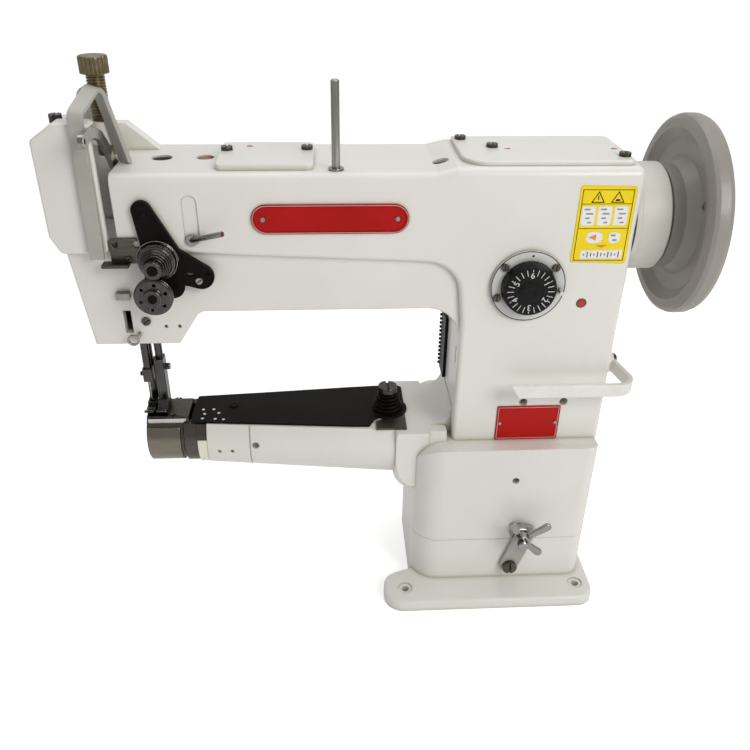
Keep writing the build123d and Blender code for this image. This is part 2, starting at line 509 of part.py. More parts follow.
with BuildPart() as oil_plugs:
    for x, y, radius in OIL_HOLES:
        rod((x, y, 0), ALONG_Z, radius - 0.1, 374, 379)
    rod((51.9, 0, 280), OUTWARD, 3.9, 34, 41.4)

with BuildPart() as spool_pin:
    turn((-135, -30, 0), ALONG_Z, [(372, 0), (441, 0), (441, 3), (382, 3), (382, 5.5), (ARM_TOP, 5.5),
                                   (ARM_TOP, 3), (372, 3)])
    chamfer(spool_pin.edges().group_by(Axis.Z)[-1], 0.8)

with BuildPart() as nameplate:
    with BuildSketch(front(FRONT_Y)):
        with Locations((-139.5, 348.8)):
            SlotOverall(112.3, 21.5)
    extrude(amount=1.6)
    with BuildSketch(front(FRONT_Y - 1.6)):
        with Locations((-139.5, 348.8)):
            SlotOverall(109.3, 18.5)
    extrude(amount=-0.7, mode=Mode.SUBTRACT)
    for x, z in NAMEPLATE_RIVETS:
        rod((x, FRONT_Y, z), OUTWARD, 1.7, -1, 3, Mode.SUBTRACT)

with BuildPart() as model_plate:
    plate(front(FRONT_Y), [(-4.5, 154), (48.5, 154), (48.5, 187), (-4.5, 187)], 0.8, 1.2)
    for x, z in MODEL_PLATE_RIVETS:
        rod((x, FRONT_Y, z), OUTWARD, 1.5, -1, 3, Mode.SUBTRACT)

with BuildPart() as plate_rivets:
    for x, z in NAMEPLATE_RIVETS:
        rod((x, FRONT_Y, z), OUTWARD, 1.7, -2, 1.8)
    for x, z in MODEL_PLATE_RIVETS:
        rod((x, FRONT_Y, z), OUTWARD, 1.5, -2, 1.5)

with BuildPart() as info_label:
    plate(front(FRONT_Y), [(38.2, 314), (80.2, 312.5), (79.6, 371), (38.6, 372)], 0.35, 2)

with BuildPart() as column_side_cover:
    plate(side(COLUMN_LEFT - 2.6), [(14, 182), (37, 182), (37, 240), (14, 240)], 2.6, 1.5)
    for i in range(14):
        block((COLUMN_LEFT - 4, 36.9, 184 + 4 * i), (COLUMN_LEFT - 0.2, 38.6, 186 + 4 * i))

# ---------------------------------------------------------------- shafts, belt and handwheel

with BuildPart() as shaft_housing:
    turn((0, 0, SHAFT_Z), ALONG_X, [(COLUMN_RIGHT, 13.5), (111, 13.5), (111, 40), (110, 41),
                                    (89, 41), (88, 42), (COLUMN_RIGHT, 42)])

with BuildPart() as shaft_bushes:
    tube((0, 0, SHAFT_Z), ALONG_X, SHAFT_R + FIT, 13, -262, -247)
    tube((0, 0, SHAFT_Z), ALONG_X, SHAFT_R + FIT, 13.5, 78, 110)
    for start, end in ((-249, -238), (21, 33)):
        tube((0, LOWER_Y, LOWER_Z), ALONG_X, LOWER_R + FIT, 8, start, end)

with BuildPart() as bar_bushes:
    for x, y in BAR_PLACES:
        for low, high in ((245.5, 254), (316, 323.8)):
            tube((x, y, 0), ALONG_Z, BAR_BUSH_R[(x, y)] - 1.8 + FIT, BAR_BUSH_R[(x, y)], low, high)

with BuildPart() as main_shaft:
    rod((0, 0, SHAFT_Z), ALONG_X, SHAFT_R, -264, WHEEL_RIGHT)
    rod((0, 0, SHAFT_Z), ALONG_X, 17, -269.5, -264)
    rod((0, 8, SHAFT_Z + 8), ALONG_X, 3, -273, -269)
    chamfer(main_shaft.edges().group_by(Axis.X)[-1], 1)

with BuildPart() as handwheel:
    turn((0, 0, SHAFT_Z), ALONG_X,
         [(111.4, SHAFT_R + FIT), (111.4, 37.5), (113, 39.5), (122, 39.5), (125.5, 42), (130.5, 46),
          (130.5, 58), (127, 63), (WHEEL_LEFT, 66), (WHEEL_LEFT, 72.5), (126, WHEEL_R - 1.2),
          (129, WHEEL_R), (136, WHEEL_R), (139.4, WHEEL_R - 1.4), (WHEEL_RIGHT, 72),
          (WHEEL_RIGHT, 65), (137.5, 62), (135, 44), (135, 24), (WHEEL_RIGHT, 22),
          (WHEEL_RIGHT, SHAFT_R + FIT)])
    rod((0, -44, SHAFT_Z + 21), ALONG_X, 3.2, 120, 131.5, Mode.SUBTRACT)

with BuildPart() as upper_pulley:
    tube((0, 0, SHAFT_Z), ALONG_X, SHAFT_R + FIT, PULLEY_R, BELT_LEFT, BELT_RIGHT)
    tube((0, 0, SHAFT_Z), ALONG_X, SHAFT_R + FIT, 14, BELT_RIGHT, BELT_RIGHT + 7)

with BuildPart() as lower_shaft:
    rod((0, LOWER_Y, LOWER_Z), ALONG_X, LOWER_R, -289, 38)
    rod((0, LOWER_Y, LOWER_Z), ALONG_X, 8, -287, -279)

with BuildPart() as lower_pulley:
    tube((0, LOWER_Y, LOWER_Z), ALONG_X, LOWER_R + FIT, PULLEY_R, BELT_LEFT, BELT_RIGHT)
    tube((0, LOWER_Y, LOWER_Z), ALONG_X, LOWER_R + FIT, 12, BELT_LEFT - 6, BELT_LEFT)

with BuildPart() as timing_belt:
    loop = [(0, SHAFT_Z), (LOWER_Y, LOWER_Z)]
    hull(side(BELT_LEFT + 0.5), [(y, z, PULLEY_R + 2.3) for y, z in loop], 11)
    hull(side(BELT_LEFT), [(y, z, PULLEY_R + 0.3) for y, z in loop], 12, Mode.SUBTRACT)

# ---------------------------------------------------------------- needle, feet and take-up

with BuildPart() as needle_bar:
    rod((NEEDLE_X, 0, 0), ALONG_Z, NEEDLE_BAR_R, 194, 332)
    block((NEEDLE_X - 4, -4.5, 194), (NEEDLE_X + 4, 4.6, 206))
    fillet(needle_bar.edges().filter_by(Axis.Z).filter_by(GeomType.LINE), 1)
    rod((NEEDLE_X - 6.5, 0, 200), ALONG_X, 2, 0, 3)
    rod((NEEDLE_X, 0, 0), ALONG_Z, 1.25, 190, 212, Mode.SUBTRACT)

with BuildPart() as needle:
    turn((NEEDLE_X, 0, 0), ALONG_Z, [(167, 0), (170, 0.7), (188, 0.8), (189, 1.2), (211, 1.2), (211, 0)])

with BuildPart() as inner_foot:
    rod((NEEDLE_X, INNER_BAR_Y, 0), ALONG_Z, INNER_BAR_R, 176, 335)
    block((NEEDLE_X - 3.8, INNER_BAR_Y - 3.6, 172), (NEEDLE_X + 3.8, INNER_BAR_Y + 4, 208))
    block((NEEDLE_X - 3.8, -3, 166.6), (NEEDLE_X + 3.8, INNER_BAR_Y + 4, 173))
    plate(side(NEEDLE_X - 3.8), [(-3, 166.6), (-3, 170.5), (-10, 170.2), (-17, 173.5), (-17.8, 172),
                                 (-11, 166.6)], 7.6)
    rod((NEEDLE_X, 0, 0), ALONG_Z, 2.2, 160, 180, Mode.SUBTRACT)

with BuildPart() as outer_foot:
    rod((OUTER_BAR_X, OUTER_BAR_Y, 0), ALONG_Z, OUTER_BAR_R, 180, 340)
    block((OUTER_BAR_X - 4, OUTER_BAR_Y - 7, 174), (OUTER_BAR_X + 4, OUTER_BAR_Y + 5, 214))
    plate(side(OUTER_BAR_X - 4), [(9, 166.6), (9, 176), (-4, 176), (-10, 170.5), (-17, 174),
                                  (-18, 172.4), (-11, 166.6)], 8)
    rod((OUTER_BAR_X + 3, OUTER_BAR_Y - 1, 205), ALONG_X, 2.8, 0, 5)
    fillet(outer_foot.edges().filter_by(Axis.Z).filter_by(GeomType.LINE), 1)

with BuildPart() as take_up_lever:
    curve = [(TAKE_UP_Y, TAKE_UP_Z, 8), (-2, 374, 5), (-12, 384, 4), (-21, 395, 3.6), (-32, 404.5, 3.5),
             (-46, 410, 3.4), (-60, 411.5, 3.4), (-70, 410, 4.6)]
    for first, second in zip(curve, curve[1:]):
        hull(side(LEVER_SIDE), [first, second], LEVER_THICKNESS)
    rod((0, TAKE_UP_Y, TAKE_UP_Z), ALONG_X, 8, LEVER_SIDE, -277)
    rod((0, TAKE_UP_Y, TAKE_UP_Z), ALONG_X, TAKE_UP_PIN_R + FIT, -300, -260, Mode.SUBTRACT)
    rod((0, -70, 410), ALONG_X, 1.8, -300, -290, Mode.SUBTRACT)

with BuildPart() as pressure_screw:
    rod((PRESSURE_X, PRESSURE_Y, 0), ALONG_Z, 6.4, 384, 439.5)
    rod((PRESSURE_X, PRESSURE_Y, 0), ALONG_Z, 10, 439.5, 451)
    fillet(pressure_screw.edges().group_by(Axis.Z)[-1], 1.2)
    for i in range(20):
        angle = radians(18 * i)
        x = PRESSURE_X + 10.3 * cos(angle)
        y = PRESSURE_Y + 10.3 * sin(angle)
        rod((x, y, 0), ALONG_Z, 0.9, 439, 452, Mode.SUBTRACT)
    for i in range(14):
        tube((PRESSURE_X, PRESSURE_Y, 0), ALONG_Z, 5.8, 7, 411 + 2 * i, 412 + 2 * i, Mode.SUBTRACT)

with BuildPart() as take_up_guard:
    with BuildLine() as strap_line:
        FilletPolyline((-305.5, -47, 322), (-304.3, -47, 421), (-297.6, -10, 435),
                       (-284.8, -10, ARM_TOP), radius=7)
    with BuildSketch(Plane(origin=strap_line.line @ 0, x_dir=(1, 0, 0), z_dir=strap_line.line % 0)):
        Rectangle(9.8, 3.2)
    sweep(path=strap_line.line)

# ---------------------------------------------------------------- thread path on the front

with BuildPart() as thread_guide_plate:
    plate(front(FRONT_Y), [(-297, 317), (-277, 317), (-277, 336), (-297, 336)], 2, 2.5)
    block((-303, -51, 316), (-284, FRONT_Y - 0.1, 318.2))
    for x in (-292.7, -278):
        rod((x, 0, 331.4), OUTWARD, 2.5, 40, 50, Mode.SUBTRACT)

with BuildPart() as thread_guides:
    block((-299.5, -41.5, 287), (-289.5, LOWER_FRONT_Y, 292))
    rod((-239, FRONT_Y, 333.6), PIN_DIRECTION, 2, -3, 31)
    rod((-239, FRONT_Y, 333.6), OUTWARD, 4.2, 0, 1.5)
    with BuildSketch(front(-41), mode=Mode.PRIVATE) as ring:
        with Locations((-291.5, 253.5)):
            Circle(4.6)
            Circle(3, mode=Mode.SUBTRACT)
    extrude(ring.sketch, amount=1.6)
    block((-288, -42.6, 255), (-286.4, LOWER_FRONT_Y, 258))

with BuildPart() as tension_bracket:
    for arm in ((-271, 356.5, 7), (-234.5, 306.5, 9.5), (THREAD_WHEEL_X, THREAD_WHEEL_Z, 9), (-256, 299, 9)):
        hull(front(FRONT_Y - 0.2), [(-259, 318, 14), arm], 4)
    fillet(tension_bracket.edges().group_by(Axis.Y)[0], 0.8)
    for x, z in ((-263, 313), (-236, 306)):
        rod((x, 0, z), OUTWARD, 5, -LOWER_FRONT_Y, -FRONT_Y + 1)
    rod((TENSION_X, 0, TENSION_Z), OUTWARD, 3, -FRONT_Y, 68)
    rod((THREAD_WHEEL_X, 0, THREAD_WHEEL_Z), OUTWARD, 3, -FRONT_Y, 64)
    rod((THREAD_WHEEL_X, 0, THREAD_WHEEL_Z), OUTWARD, 6, -FRONT_Y, 54.6)
    for x, z in ((-271, 356.5), (-229.5, 309)):
        rod((x, 0, z), OUTWARD, 1.6, 44, 50, Mode.SUBTRACT)
    with BuildSketch(front(FRONT_Y - 4.2), mode=Mode.PRIVATE) as adjusting_slot:
        with Locations((-242, 308.5)):
            SlotOverall(6, 3)
    extrude(adjusting_slot.sketch, amount=-5, mode=Mode.SUBTRACT)

with BuildPart() as tension_discs:
    turn((TENSION_X, 0, TENSION_Z), OUTWARD,
         [(46.4, 3 + FIT), (46.4, 11), (47.2, 13), (48, 12.6), (49, 9), (50, 12.6), (50.8, 13.2),
          (51.4, 11.5), (59.2, 6.6), (59.2, 3 + FIT)])

with BuildPart() as tension_knob:
    tube((TENSION_X, 0, TENSION_Z), OUTWARD, 3 + FIT, 6.8, 59.5, 66.5)
    chamfer(tension_knob.edges().group_by(Axis.Y)[0], 0.6)
    for i in range(16):
        angle = radians(22.5 * i)
        x = TENSION_X + 7 * cos(angle)
        z = TENSION_Z + 7 * sin(angle)
        rod((x, 0, z), OUTWARD, 0.7, 59, 68, Mode.SUBTRACT)

with BuildPart() as thread_wheel:
    turn((THREAD_WHEEL_X, 0, THREAD_WHEEL_Z), OUTWARD,
         [(55, 3 + FIT), (55, 12.5), (55.7, 14), (56.6, 13.6), (57.6, 11), (58.6, 13.6), (59.5, 14),
          (60.2, 12.5), (60.2, 7.2), (61, 6.4), (63, 6.4), (63, 3 + FIT)])
    for i in range(6):
        angle = radians(60 * i + 20)
        x = THREAD_WHEEL_X + 9.6 * cos(angle)
        z = THREAD_WHEEL_Z + 9.6 * sin(angle)
        rod((x, 0, z), OUTWARD, 1.4, 50, 65, Mode.SUBTRACT)

# ---------------------------------------------------------------- dial, reverse lever, lifter

with BuildPart() as dial_ring:
    tube((DIAL_X, 0, DIAL_Z), OUTWARD, 6.2, 28.4, -FRONT_Y, -FRONT_Y + 3)
    fillet(dial_ring.edges().group_by(Axis.Y)[0].sort_by(SortBy.LENGTH)[-1], 0.8)
    rod((DIAL_X + 24.3, 0, DIAL_Z - 3), OUTWARD, 1.7, -FRONT_Y, 52)
    for x, z in DIAL_SCREWS:
        rod((x, 0, z), OUTWARD, 1.6, 40, 50, Mode.SUBTRACT)

with BuildPart() as dial_knob:
    turn((DIAL_X, 0, DIAL_Z), OUTWARD,
         [(32, 0), (54.6, 0), (54.6, 18.6), (53.8, 19.6), (51, 20.2), (45.4, 20.8), (45.4, 6), (32, 6)])
    for i in range(36):
        angle = radians(10 * i)
        x = DIAL_X + 20.9 * cos(angle)
        z = DIAL_Z + 20.9 * sin(angle)
        rod((x, 0, z), OUTWARD, 0.6, 45, 53.4, Mode.SUBTRACT)

with BuildPart() as pivot_pins:
    rod((0, TAKE_UP_Y, TAKE_UP_Z), ALONG_X, TAKE_UP_PIN_R, -298.4, -250)
    rod((0, TAKE_UP_Y, TAKE_UP_Z), ALONG_X, 6, -298.4, LEVER_SIDE - 0.3)
    rod((0, LEVER_Y, LEVER_Z), ALONG_X, 5, 76, 86)
    slotted_screw((95.6, LEVER_Y, LEVER_Z), ALONG_X, 4.4, 10, 7, 3)

with BuildPart() as reverse_lever:
    with BuildLine() as lever_line:
        FilletPolyline((-1, -60, LEVER_Z), (102, -60, LEVER_Z), (93, -8, LEVER_Z), radius=13)
    with BuildSketch(Plane(origin=lever_line.line @ 0, x_dir=(0, 1, 0), z_dir=lever_line.line % 0)):
        RectangleRounded(4.4, 11, 1)
    sweep(path=lever_line.line)
    plate(front(-50), [(-6, 220), (-1, 220), (9, 204), (-6, 204)], 20, 0, Mode.SUBTRACT)
    rod((0, LEVER_Y, LEVER_Z), ALONG_X, 9, 90.6, 95.3)
    rod((0, LEVER_Y, LEVER_Z), ALONG_X, 4.4 + FIT, 80, 110, Mode.SUBTRACT)
    block((COLUMN_RIGHT, -30, 195), (90.5, 0, 230), Mode.SUBTRACT)
    block((95.4, -24, 195), (110, 0, 230), Mode.SUBTRACT)

with BuildPart() as foot_lifter:
    hull(front(LOWER_BACK_Y + 5.2), [(LIFTER_X, LIFTER_Z, 9), (-205, 262, 6)], 4.6)
    hull(front(LOWER_BACK_Y + 11), [(-205, 262, 6), (-192, 258, 6)], 10.4)
    fillet(foot_lifter.edges().group_by(Axis.Y)[-1], 1)
    rod((LIFTER_X, 0, LIFTER_Z), OUTWARD, 5 - FIT, -LOWER_BACK_Y - 3, -29)

nodes = {
    "pedestal_base": pedestal_base, "tilt_hinge_pin": tilt_hinge_pin,
    "latch_pivot_screw": latch_pivot_screw, "latch_strap": latch_strap, "clamp_stud": clamp_stud,
    "wing_nut": wing_nut, "bed_casting": bed_casting, "nose_shell": nose_shell,
    "cream_ring": cream_ring, "hook_cover": hook_cover, "needle_plate": needle_plate,
    "plate_screws": plate_screws, "feed_dog": feed_dog, "hook": hook, "bobbin_case": bobbin_case,
    "bobbin": bobbin, "arm_top_plate": arm_top_plate, "pivot_block": pivot_block,
    "plate_stud": plate_stud, "plate_spring": plate_spring, "arm_casting": arm_casting,
    "face_cover": face_cover, "spring_bracket": spring_bracket, "top_cover_left": top_cover_left,
    "top_cover_right": top_cover_right, "cover_screws": cover_screws, "oil_plugs": oil_plugs,
    "spool_pin": spool_pin, "nameplate": nameplate, "model_plate": model_plate,
    "plate_rivets": plate_rivets, "info_label": info_label, "column_side_cover": column_side_cover,
    "shaft_housing": shaft_housing, "shaft_bushes": shaft_bushes, "bar_bushes": bar_bushes,
    "main_shaft": main_shaft, "handwheel": handwheel, "upper_pulley": upper_pulley,
    "lower_shaft": lower_shaft, "lower_pulley": lower_pulley, "timing_belt": timing_belt,
    "needle_bar": needle_bar, "needle": needle, "inner_foot": inner_foot, "outer_foot": outer_foot,
    "take_up_lever": take_up_lever, "pressure_screw": pressure_screw,
    "take_up_guard": take_up_guard, "thread_guide_plate": thread_guide_plate,
    "thread_guides": thread_guides, "tension_bracket": tension_bracket,
    "tension_discs": tension_discs, "tension_knob": tension_knob, "thread_wheel": thread_wheel,
    "dial_ring": dial_ring, "dial_knob": dial_knob, "pivot_pins": pivot_pins,
    "reverse_lever": reverse_lever, "foot_lifter": foot_lifter,
}
for name, builder in nodes.items():
    keep(builder, name)
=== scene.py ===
import json
import math

import bmesh
import bpy
from mathutils import Matrix, Vector


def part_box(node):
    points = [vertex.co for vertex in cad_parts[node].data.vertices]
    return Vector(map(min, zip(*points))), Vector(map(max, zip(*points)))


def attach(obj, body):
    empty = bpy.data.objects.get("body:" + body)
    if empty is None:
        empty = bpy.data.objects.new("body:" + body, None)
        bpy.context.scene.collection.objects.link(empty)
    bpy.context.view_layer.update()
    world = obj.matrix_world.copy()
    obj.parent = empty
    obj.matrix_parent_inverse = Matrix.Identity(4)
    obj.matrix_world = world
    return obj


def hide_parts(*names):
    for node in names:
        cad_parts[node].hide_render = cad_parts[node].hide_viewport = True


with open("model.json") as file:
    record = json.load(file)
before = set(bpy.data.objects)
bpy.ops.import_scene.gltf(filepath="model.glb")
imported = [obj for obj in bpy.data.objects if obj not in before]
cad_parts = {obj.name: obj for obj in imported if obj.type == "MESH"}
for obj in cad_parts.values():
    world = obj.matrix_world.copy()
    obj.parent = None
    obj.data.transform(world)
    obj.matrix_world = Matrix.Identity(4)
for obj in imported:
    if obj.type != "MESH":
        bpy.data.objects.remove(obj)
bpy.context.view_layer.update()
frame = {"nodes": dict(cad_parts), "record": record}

NODES = frame["nodes"]

# The row frame is X towards the handwheel, Y away from the operator, Z up, in metres.
MM = 0.001
FRONT_Y = -0.042
DIAL_RING_Y = FRONT_Y - 0.003
BRACKET_Y = FRONT_Y - 0.004
DECK_TOP = 0.16375
DIAL = Vector((0.0081, -0.0546, 0.2956))
PLATE_STUD = Vector((-0.093, -0.004, 0.164))
TENSION_X = -0.264
TENSION_Z = 0.320

# ---------------------------------------------------------------- materials


def node(tree, kind, **inputs):
    """A new shader node with the given inputs; an underscore in a name stands for a space."""
    made = tree.nodes.new(kind)
    for name, value in inputs.items():
        made.inputs[name.replace("_", " ")].default_value = value
    return made


def noise(tree, scale, detail=3.0, stretch=(1, 1, 1)):
    """The noise's value output, in the object's own metres."""
    place = tree.nodes.new("ShaderNodeTexCoord")
    mapping = node(tree, "ShaderNodeMapping", Scale=stretch)
    texture = node(tree, "ShaderNodeTexNoise", Scale=scale, Detail=detail)
    tree.links.new(place.outputs["Object"], mapping.inputs["Vector"])
    tree.links.new(mapping.outputs["Vector"], texture.inputs["Vector"])
    return texture.outputs["Fac"]


def spread(tree, value, low, high, start=0.35, end=0.65):
    """Maps a value that runs from start to end onto low to high."""
    made = tree.nodes.new("ShaderNodeMapRange")
    made.inputs["From Min"].default_value = start
    made.inputs["From Max"].default_value = end
    made.inputs["To Min"].default_value = low
    made.inputs["To Max"].default_value = high
    tree.links.new(value, made.inputs["Value"])
    return made.outputs["Result"]


def blend_colors(tree, factor, first, second):
    """first where factor is 0, second where it is 1; each is a colour or an output."""
    made = tree.nodes.new("ShaderNodeMix")
    made.data_type = "RGBA"
    tree.links.new(factor, made.inputs["Factor"])
    for socket, value in (("A", first), ("B", second)):
        target = [i for i in made.inputs if i.name == socket and i.type == "RGBA"][0]
        if isinstance(value, bpy.types.NodeSocket):
            tree.links.new(value, target)
        else:
            target.default_value = (*value, 1)
    return [o for o in made.outputs if o.type == "RGBA"][0]


def edge_mask(tree, radius):
    """1 along sharp outer and inner edges, 0 on flat faces."""
    bevel = tree.nodes.new("ShaderNodeBevel")
    bevel.samples = 4
    bevel.inputs["Radius"].default_value = radius
    place = tree.nodes.new("ShaderNodeNewGeometry")
    dot = tree.nodes.new("ShaderNodeVectorMath")
    dot.operation = "DOT_PRODUCT"
    tree.links.new(bevel.outputs["Normal"], dot.inputs[0])
    tree.links.new(place.outputs["Normal"], dot.inputs[1])
    return spread(tree, dot.outputs["Value"], 1.0, 0.0, 0.86, 0.985), bevel.outputs["Normal"]


def corner_grime(tree, reach):
    """Painted shade mask: 1 in deep corners where shade falls, 0 in the open."""
    shade = tree.nodes.new("ShaderNodeAmbientOcclusion")
    shade.samples = 6
    shade.inputs["Distance"].default_value = reach
    return spread(tree, shade.outputs["AO"], 1.0, 0.0, 0.35, 0.85)


def finish_material(name, base, tint, rough, metallic=0.0, grain=900, grain_depth=0.02, stretch=(1, 1, 1),
                    edge=None, edge_radius=0.0007, painted_corner_shade=None, coat=0.0, anisotropy=0.0, patches=28,
                    specular=0.5):
    """A finish with slow colour patches, fine grain, worn edges and painted shade in deep corners."""
    material = bpy.data.materials.new(name)
    material.use_nodes = True
    tree = material.node_tree
    shader = tree.nodes["Principled BSDF"]
    color = blend_colors(tree, spread(tree, noise(tree, patches, 4.0), 0, 1, 0.3, 0.7), base, tint)
    fine = noise(tree, grain, 3.0, stretch)
    if metallic > 0.5:
        streak = spread(tree, fine, 0.0, 0.45)
        color = blend_colors(tree, streak, color, tuple(0.55 * c for c in tint))
    mask, soft_normal = edge_mask(tree, edge_radius)
    if edge:
        broken = tree.nodes.new("ShaderNodeMath")
        broken.operation = "MULTIPLY"
        tree.links.new(mask, broken.inputs[0])
        tree.links.new(spread(tree, noise(tree, 260, 5.0), 0.0, 1.0, 0.42, 0.6), broken.inputs[1])
        color = blend_colors(tree, broken.outputs["Value"], color, edge)
    # Painted shade: the colour is darkened in deep corners by an ambient occlusion mask.
    if painted_corner_shade:
        color = blend_colors(tree, corner_grime(tree, 0.006), color, painted_corner_shade)
    tree.links.new(color, shader.inputs["Base Color"])
    tree.links.new(spread(tree, fine, *rough), shader.inputs["Roughness"])
    shader.inputs["Metallic"].default_value = metallic
    shader.inputs["Specular IOR Level"].default_value = specular
    shader.inputs["Coat Weight"].default_value = coat
    shader.inputs["Coat Roughness"].default_value = 0.12
    shader.inputs["Anisotropic"].default_value = anisotropy
    bump = node(tree, "ShaderNodeBump", Strength=0.35, Distance=grain_depth * MM)
    tree.links.new(fine, bump.inputs["Height"])
    tree.links.new(soft_normal, bump.inputs["Normal"])
    tree.links.new(bump.outputs["Normal"], shader.inputs["Normal"])
    return material


BRUSHED_X = (0.05, 1, 1)
BRUSHED_Z = (1, 1, 0.05)

# The corner colours given to the finishes below are painted shade for deep corners.
MATERIALS = {
    "enamel": finish_material("enamel_finish", (0.77, 0.755, 0.705), (0.83, 0.815, 0.77), (0.30, 0.42),
                              grain=420, grain_depth=0.10, edge=(0.62, 0.60, 0.53), edge_radius=0.0011,
                              painted_corner_shade=(0.50, 0.46, 0.36), coat=0.35, patches=9),
    "cream": finish_material("cream_finish", (0.84, 0.79, 0.62), (0.88, 0.85, 0.72), (0.32, 0.45),
                             grain=500, grain_depth=0.06, coat=0.3, painted_corner_shade=(0.4, 0.36, 0.26)),
    "taupe": finish_material("taupe_finish", (0.27, 0.25, 0.22), (0.32, 0.30, 0.27), (0.36, 0.5),
                             grain=520, grain_depth=0.12, edge=(0.50, 0.48, 0.44), coat=0.15,
                             painted_corner_shade=(0.16, 0.14, 0.11), patches=14),
    "housing_grey": finish_material("housing_finish", (0.60, 0.58, 0.53), (0.66, 0.64, 0.59), (0.4, 0.55),
                                    grain=520, grain_depth=0.1, edge=(0.7, 0.68, 0.63),
                                    painted_corner_shade=(0.3, 0.28, 0.24), patches=12),
    "guard_grey": finish_material("guard_finish", (0.40, 0.385, 0.34), (0.46, 0.44, 0.40), (0.34, 0.46),
                                  grain=600, grain_depth=0.06, edge=(0.62, 0.60, 0.56), coat=0.2),
    "black_paint": finish_material("black_finish", (0.004, 0.0032, 0.0026), (0.008, 0.0066, 0.0054),
                                   (0.30, 0.46), grain=700, grain_depth=0.03,
                                   edge=(0.06, 0.054, 0.048), specular=0.08),
    "red_plate": finish_material("red_finish", (0.42, 0.0025, 0.002), (0.48, 0.004, 0.003), (0.28, 0.42),
                                 grain=800, grain_depth=0.02, edge=(0.10, 0.004, 0.004),
                                 edge_radius=0.0006, specular=0.2),
    "yellow_label": finish_material("yellow_finish", (0.92, 0.68, 0.012), (0.96, 0.74, 0.022), (0.34, 0.46),
                                    grain=900, grain_depth=0.02, specular=0.2),
    "steel": finish_material("steel_finish", (0.21, 0.185, 0.145), (0.30, 0.27, 0.22), (0.24, 0.40), 1.0,
                             grain=1600, stretch=BRUSHED_X, edge=(0.62, 0.60, 0.55), anisotropy=0.4,
                             painted_corner_shade=(0.06, 0.05, 0.04)),
    "dark_steel": finish_material("dark_steel_finish", (0.10, 0.088, 0.075), (0.16, 0.145, 0.125),
                                  (0.28, 0.46), 1.0, grain=1400, stretch=BRUSHED_X,
                                  edge=(0.42, 0.38, 0.34), painted_corner_shade=(0.03, 0.022, 0.018)),
    "chrome": finish_material("chrome_finish", (0.34, 0.325, 0.30), (0.44, 0.425, 0.40), (0.10, 0.24), 1.0,
                              grain=1500, stretch=BRUSHED_Z, edge=(0.80, 0.79, 0.76),
                              painted_corner_shade=(0.05, 0.045, 0.04)),
    "dark_chrome": finish_material("dark_chrome_finish", (0.075, 0.072, 0.070), (0.13, 0.125, 0.12),
                                   (0.14, 0.28), 1.0, grain=1500, stretch=BRUSHED_Z,
                                   edge=(0.50, 0.49, 0.47), painted_corner_shade=(0.012, 0.011, 0.010)),
    "bright_steel": finish_material("bright_steel_finish", (0.70, 0.68, 0.64), (0.78, 0.76, 0.73),
                                    (0.2, 0.32), 1.0, grain=1400, stretch=BRUSHED_X,
                                    painted_corner_shade=(0.2, 0.18, 0.15)),
    "brass": finish_material("brass_finish", (0.20, 0.155, 0.080), (0.30, 0.245, 0.14), (0.26, 0.42), 1.0,
                             grain=1300, stretch=BRUSHED_Z, edge=(0.72, 0.64, 0.44),
                             painted_corner_shade=(0.09, 0.06, 0.03)),
    "bronze": finish_material("bronze_finish", (0.42, 0.27, 0.12), (0.50, 0.33, 0.16), (0.3, 0.45), 1.0,
                              grain=1200, stretch=BRUSHED_Z),
    "aluminium": finish_material("aluminium_finish", (0.62, 0.62, 0.61), (0.70, 0.70, 0.69), (0.28, 0.42),
                                 1.0, grain=1300, stretch=BRUSHED_X),
    "belt_rubber": finish_material("belt_finish", (0.018, 0.018, 0.018), (0.03, 0.03, 0.03), (0.6, 0.8),
                                   grain=1100, grain_depth=0.2),
    "dial_white": finish_material("dial_white_finish", (0.62, 0.62, 0.60), (0.70, 0.70, 0.68),
                                  (0.26, 0.38), grain=900, grain_depth=0.03, edge=(0.42, 0.42, 0.40),
                                  coat=0.3, painted_corner_shade=(0.2, 0.19, 0.17)),
    "dial_black": finish_material("dial_black_finish", (0.006, 0.006, 0.006), (0.012, 0.012, 0.012),
                                  (0.28, 0.42), grain=900, grain_depth=0.04, edge=(0.05, 0.05, 0.05),
                                  specular=0.15),
    "label_white": finish_material("label_white_finish", (0.82, 0.82, 0.80), (0.88, 0.88, 0.86),
                                   (0.3, 0.4), grain=900, grain_depth=0.02, coat=0.4),
    "label_grey": finish_material("label_grey_finish", (0.22, 0.22, 0.30), (0.36, 0.36, 0.44),
                                  (0.3, 0.4), grain=900, coat=0.4, patches=400),
    "label_orange": finish_material("label_orange_finish", (0.78, 0.20, 0.03), (0.84, 0.30, 0.06),
                                    (0.3, 0.4), grain=900, coat=0.4, patches=300),
    "plate_line": finish_material("plate_line_finish", (0.72, 0.55, 0.52), (0.80, 0.66, 0.62),
                                  (0.28, 0.4), grain=900, coat=0.3),
    "dial_mark": finish_material("dial_mark_finish", (0.78, 0.78, 0.76), (0.86, 0.86, 0.84), (0.4, 0.5),
                                 grain=900),
    "seal_red": finish_material("seal_finish", (0.30, 0.018, 0.015), (0.42, 0.03, 0.02), (0.24, 0.4),
                                grain=700, grain_depth=0.2, coat=0.5, patches=500),
    "lever_white": finish_material("lever_finish", (0.80, 0.79, 0.75), (0.86, 0.85, 0.82), (0.26, 0.38),
                                   grain=500, grain_depth=0.05, edge=(0.60, 0.58, 0.53), coat=0.4),
}

# Pieces whose metal or enamel is darker than the rest of their slot.
DARKER = {name: "dark_chrome" for name in ("needle_bar", "inner_foot", "outer_foot", "tension_discs",
                                           "tension_knob", "thread_wheel")}
DARKER["shaft_housing"] = "housing_grey"

for subpart in frame["record"]["subparts"]:
    piece = NODES[subpart["node"]]
    piece.data.materials.clear()
    piece.data.materials.append(MATERIALS[DARKER.get(subpart["node"], subpart["material_slot"])])

